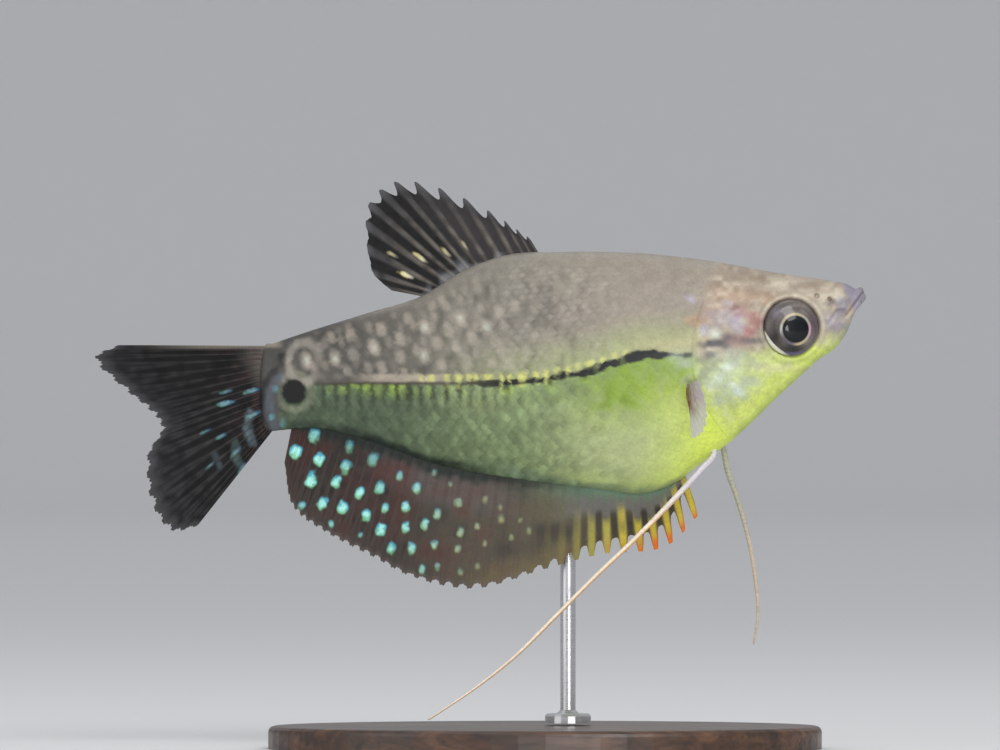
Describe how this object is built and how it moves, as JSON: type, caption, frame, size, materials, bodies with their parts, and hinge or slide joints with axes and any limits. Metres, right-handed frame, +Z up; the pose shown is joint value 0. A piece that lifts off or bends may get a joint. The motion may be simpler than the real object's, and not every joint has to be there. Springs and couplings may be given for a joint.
{
  "type": "pearl gourami model on a display stand",
  "caption": "Life-size still model of a pearl gourami with spread fins and long feelers, held by a rod on an oval base.",
  "frame": {"origin": "middle of the underside of the stand's base", "axes": "+Z up from the base towards the fish's back, +X towards the snout, +Y towards the fish's left side"},
  "size_m": [0.1003, 0.046, 0.0739],
  "materials": {
    "skin": "satin",
    "eye": "gloss",
    "fin_dark": "satin",
    "fin_anal": "satin",
    "fin_clear": "satin",
    "feeler": "satin",
    "wood": "satin",
    "steel": "satin"
  },
  "bodies": {
    "root": {"head": "skin", "trunk": "skin", "tail_stem": "skin", "eye_right": "eye", "eye_left": "eye", "dorsal_fin": "fin_dark", "caudal_fin": "fin_dark", "anal_fin": "fin_anal", "pectoral_fin_right": "fin_clear", "pectoral_fin_left": "fin_clear", "pelvic_fin_right": "feeler", "pelvic_fin_left": "feeler", "stand_base": "wood", "stand_rod": "steel"}
  },
  "joints": []
}
